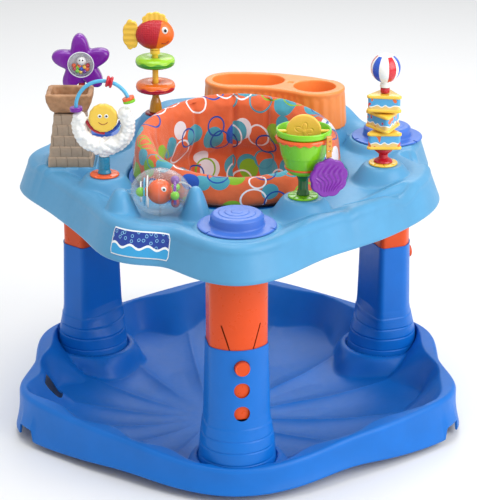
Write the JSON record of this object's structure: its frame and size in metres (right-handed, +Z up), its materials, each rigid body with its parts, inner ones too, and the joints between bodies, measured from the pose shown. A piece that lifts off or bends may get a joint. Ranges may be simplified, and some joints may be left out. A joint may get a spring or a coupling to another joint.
{
  "type": "activity jumper",
  "caption": "Stationary baby activity centre: a turning padded seat in a lobed toy tray on telescoping legs above a rocking saucer base.",
  "frame": {"origin": "on the floor, in the middle of the object's bounding box", "axes": "+Z up, -Y towards the front, where the front leg is, +X to the right as seen from the front"},
  "size_m": [0.7696, 0.837, 0.6771],
  "materials": {
    "saucer_blue": "blow-moulded, fine grain, soft sheen",
    "tray_blue": "blow-moulded, fine grain, soft sheen",
    "cap_blue": "moulded, satin gloss",
    "leg_orange": "moulded, satin gloss",
    "snack_orange": "moulded, satin",
    "seat_print": "woven print, padded, soft",
    "toy_yellow": "gloss",
    "toy_amber": "translucent gloss",
    "toy_red": "gloss",
    "toy_orange": "gloss",
    "toy_lime": "gloss",
    "toy_green": "gloss",
    "toy_purple": "gloss",
    "toy_teal": "gloss",
    "toy_sky": "gloss",
    "toy_white": "gloss",
    "castle_tan": "textured moulding",
    "castle_brown": "textured moulding",
    "clear_plastic": "clear, ribbed, glossy"
  },
  "bodies": {
    "base": {"base_saucer": "saucer_blue", "stabilizer_pin_left": "saucer_blue", "stabilizer_pin_right": "saucer_blue", "stabilizer_pin_rear": "saucer_blue", "outer_leg_front": "saucer_blue", "outer_leg_right": "saucer_blue", "outer_leg_left": "saucer_blue"},
    "upper": {"tray": "tray_blue", "inner_leg_front": "leg_orange", "inner_leg_right": "leg_orange", "inner_leg_left": "leg_orange", "leg_cap_front": "cap_blue", "leg_cap_right": "cap_blue", "leg_cap_left": "cap_blue", "snack_tray": "snack_orange", "fish_base": "toy_red", "fish_pole": "toy_yellow", "star_stand": "toy_red", "castle_tower": "castle_tan", "castle_hopper": "castle_brown", "cloud_base": "toy_orange", "cloud_post": "toy_teal", "cloud_body": "toy_white", "cloud_hoop": "toy_sky", "hoop_ring_orange": "toy_orange", "hoop_ring_purple": "toy_purple", "roller_axle": "toy_white", "bucket_base": "toy_lime", "bucket_post": "toy_green", "bucket": "toy_lime", "bucket_band": "toy_orange", "spinner_base": "toy_yellow", "spinner_post": "toy_red"},
    "spring_button_front": {"spring_button_front": "leg_orange"},
    "spring_button_right": {"spring_button_right": "leg_orange"},
    "spring_button_left": {"spring_button_left": "leg_orange"},
    "stabilizer_left": {"stabilizer_foot_left": "saucer_blue"},
    "stabilizer_right": {"stabilizer_foot_right": "saucer_blue"},
    "stabilizer_rear": {"stabilizer_foot_rear": "saucer_blue"},
    "seat": {"seat_ring": "saucer_blue", "seat_fabric": "seat_print"},
    "fish_disc_lower": {"fish_disc_lower": "toy_orange"},
    "fish_disc_upper": {"fish_disc_upper": "toy_lime"},
    "fish_figure": {"fish_figure": "toy_red"},
    "star": {"star_body": "toy_purple", "star_window": "clear_plastic", "star_beads": "toy_lime"},
    "hoop_bead": {"hoop_bead_red": "toy_red"},
    "sun": {"cloud_sun": "toy_yellow"},
    "roller": {"roller_shell": "clear_plastic", "roller_fish": "toy_orange", "roller_beads": "toy_purple"},
    "sand_dollar": {"sand_dollar": "toy_yellow"},
    "shell": {"shell_strap": "toy_amber", "scallop_shell": "toy_purple"},
    "prism_lower": {"prism_lower": "toy_yellow"},
    "prism_middle": {"prism_middle": "toy_yellow"},
    "prism_upper": {"prism_upper": "toy_yellow"},
    "beach_ball": {"beach_ball": "toy_white"}
  },
  "joints": [
    {"name": "height_adjust", "type": "slide", "parent": "base", "child": "upper", "axis": [0, 0, 1], "range_m": [-0.081, 0], "deforming": ["spring_button_front", "spring_button_right", "spring_button_left"]},
    {"name": "press_front", "type": "slide", "parent": "upper", "child": "spring_button_front", "axis": [-0.1736, 0.9848, 0], "range_m": [0, 0.008], "stiffness_N_per_m": 400, "springref_m": -0.003},
    {"name": "press_right", "type": "slide", "parent": "upper", "child": "spring_button_right", "axis": [-0.9272, -0.3746, 0], "range_m": [0, 0.008], "stiffness_N_per_m": 400, "springref_m": -0.003},
    {"name": "press_left", "type": "slide", "parent": "upper", "child": "spring_button_left", "axis": [0.766, -0.6428, 0], "range_m": [0, 0.008], "stiffness_N_per_m": 400, "springref_m": -0.003},
    {"name": "stabilizer_left_flip", "type": "hinge", "parent": "base", "child": "stabilizer_left", "pos_m": [-0.30374, -0.1863, 0.027], "axis": [-0.848, -0.5299, 0], "range_deg": [-90, 0]},
    {"name": "stabilizer_right_flip", "type": "hinge", "parent": "base", "child": "stabilizer_right", "pos_m": [0.31535, -0.17664, 0.027], "axis": [0.866, -0.5, 0], "range_deg": [0, 90]},
    {"name": "stabilizer_rear_flip", "type": "hinge", "parent": "base", "child": "stabilizer_rear", "pos_m": [0.01488, 0.38481, 0.027], "axis": [0.0349, 0.9994, 0], "range_deg": [0, 90]},
    {"name": "seat_spin", "type": "hinge", "parent": "upper", "child": "seat", "pos_m": [0.0016, 0.0045, 0.43], "axis": [0, 0, 1], "continuous": true},
    {"name": "fish_disc_lower_spin", "type": "hinge", "parent": "upper", "child": "fish_disc_lower", "pos_m": [-0.1474, 0.2095, 0.537], "axis": [0, 0, 1], "continuous": true},
    {"name": "fish_disc_upper_spin", "type": "hinge", "parent": "upper", "child": "fish_disc_upper", "pos_m": [-0.1474, 0.2095, 0.584], "axis": [0, 0, 1], "continuous": true},
    {"name": "fish_spin", "type": "hinge", "parent": "upper", "child": "fish_figure", "pos_m": [-0.1474, 0.2095, 0.61], "axis": [0, 0, 1], "continuous": true},
    {"name": "star_spin", "type": "hinge", "parent": "upper", "child": "star", "pos_m": [-0.27812, 0.166, 0.56], "axis": [0, 0, 1], "continuous": true},
    {"name": "hoop_bead_slide", "type": "hinge", "parent": "upper", "child": "hoop_bead", "pos_m": [-0.2224, -0.0985, 0.59], "axis": [0, -1, 0], "range_deg": [-42, 94]},
    {"name": "sun_spin", "type": "hinge", "parent": "upper", "child": "sun", "pos_m": [-0.2224, -0.0985, 0.571], "axis": [1, 0, 0], "continuous": true},
    {"name": "roller_spin", "type": "hinge", "parent": "upper", "child": "roller", "pos_m": [-0.1244, -0.2155, 0.481], "axis": [1, 0, 0], "continuous": true},
    {"name": "sand_dollar_spin", "type": "hinge", "parent": "upper", "child": "sand_dollar", "pos_m": [0.1096, -0.2085, 0.582], "axis": [1, 0, 0], "continuous": true},
    {"name": "shell_swing", "type": "hinge", "parent": "upper", "child": "shell", "pos_m": [0.14944, -0.24193, 0.582], "axis": [0.9397, 0.342, 0], "range_deg": [-60, 6]},
    {"name": "prism_lower_spin", "type": "hinge", "parent": "upper", "child": "prism_lower", "pos_m": [0.2526, -0.0365, 0.515], "axis": [0, 0, 1], "continuous": true},
    {"name": "prism_middle_spin", "type": "hinge", "parent": "upper", "child": "prism_middle", "pos_m": [0.2526, -0.0365, 0.548], "axis": [0, 0, 1], "continuous": true},
    {"name": "prism_upper_spin", "type": "hinge", "parent": "upper", "child": "prism_upper", "pos_m": [0.2526, -0.0365, 0.581], "axis": [0, 0, 1], "continuous": true},
    {"name": "beach_ball_spin", "type": "hinge", "parent": "upper", "child": "beach_ball", "pos_m": [0.2526, -0.0365, 0.64], "axis": [0, 0, 1], "continuous": true}
  ]
}
